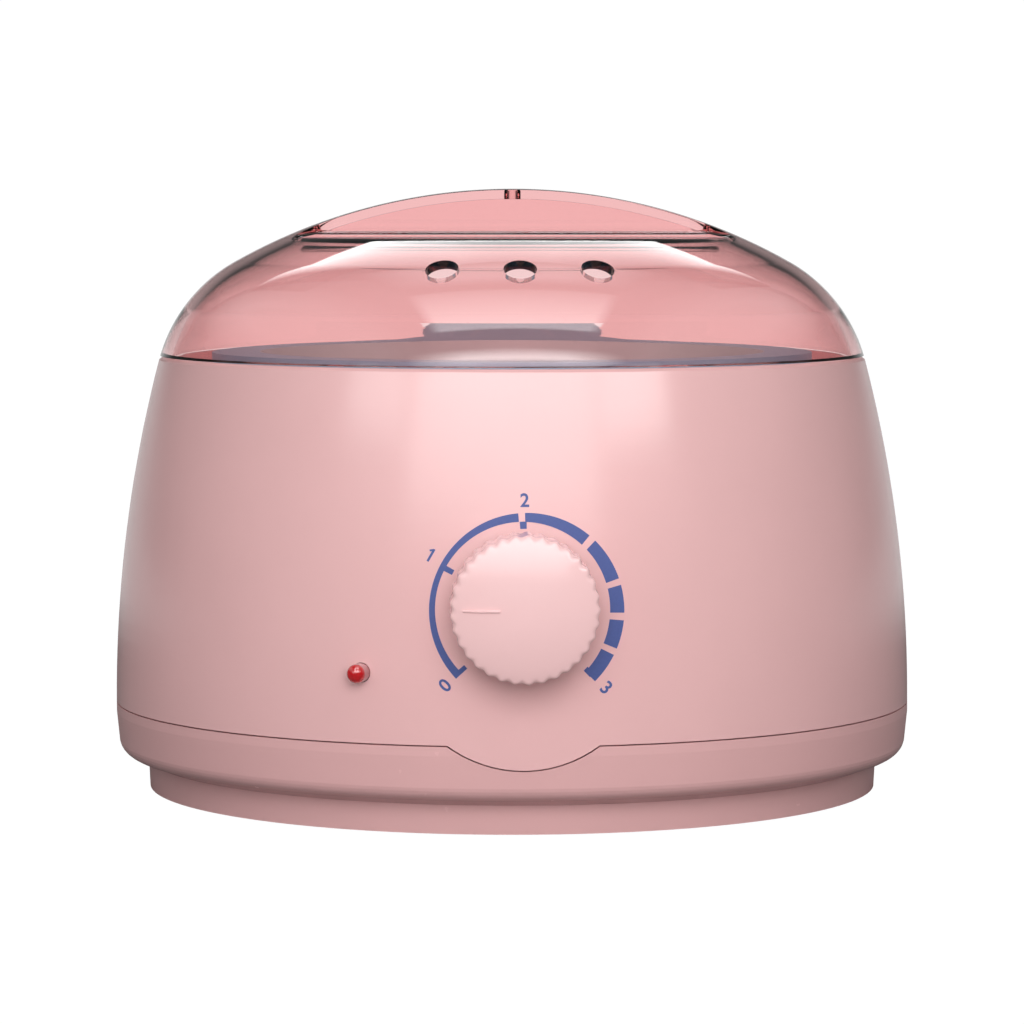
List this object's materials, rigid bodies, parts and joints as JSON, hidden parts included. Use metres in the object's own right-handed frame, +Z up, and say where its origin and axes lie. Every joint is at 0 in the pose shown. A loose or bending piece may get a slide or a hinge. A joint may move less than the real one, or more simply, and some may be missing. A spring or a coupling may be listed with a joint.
{
  "type": "wax warmer",
  "caption": "Round depilatory wax warmer with a clear domed lid, a lift-out pot in a heated well, a fluted dial knob and a pilot lamp.",
  "frame": {"origin": "on the well's axis, at the table on which the rubber feet stand", "axes": "+Z up along the well's axis, the dial faces -Y, +X to the right of someone who faces the dial"},
  "size_m": [0.18, 0.2038, 0.1361],
  "materials": {
    "shell": "gloss",
    "base": "gloss",
    "rubber": "matt",
    "steel": "satin",
    "well": "satin",
    "gasket": "matt",
    "insulator": "matt",
    "heater": "satin",
    "copper": "satin",
    "fuse": "satin",
    "lamp": "gloss",
    "dark_plastic": "matt",
    "board": "matt",
    "block": "matt",
    "brass": "satin",
    "pot": "satin",
    "lid": "gloss"
  },
  "bodies": {
    "housing": {"upper_shell": "shell", "deck_ring": "shell", "base_shell": "base", "rubber_feet": "rubber", "case_screws": "steel", "heater_well": "well", "well_gasket": "gasket", "well_support": "insulator", "heater_band": "heater", "band_clamps": "steel", "clamp_screws": "steel", "thermostat_body": "insulator", "thermostat_nut": "steel", "sensor_block": "copper", "thermal_fuse": "fuse", "fuse_clip": "steel", "lamp_lens": "lamp", "lamp_holder": "dark_plastic", "lamp_board": "board", "terminal_block": "block", "terminal_screws": "brass", "cable_gland": "rubber"},
    "knob": {"knob": "shell", "thermostat_spindle": "steel"},
    "pot": {"wax_pot": "pot"},
    "lid": {"lid": "lid"}
  },
  "joints": [
    {"name": "knob_turn", "type": "hinge", "parent": "housing", "child": "knob", "pos_m": [0, -0.0895, 0.0499], "axis": [0, 1, 0], "range_deg": [-43.5, 226]},
    {"name": "pot_lift", "type": "slide", "parent": "housing", "child": "pot", "axis": [0, 0, 1], "range_m": [0, 0.09]},
    {"name": "lid_lift", "type": "slide", "parent": "pot", "child": "lid", "axis": [0, 0, 1], "range_m": [0, 0.06]}
  ]
}
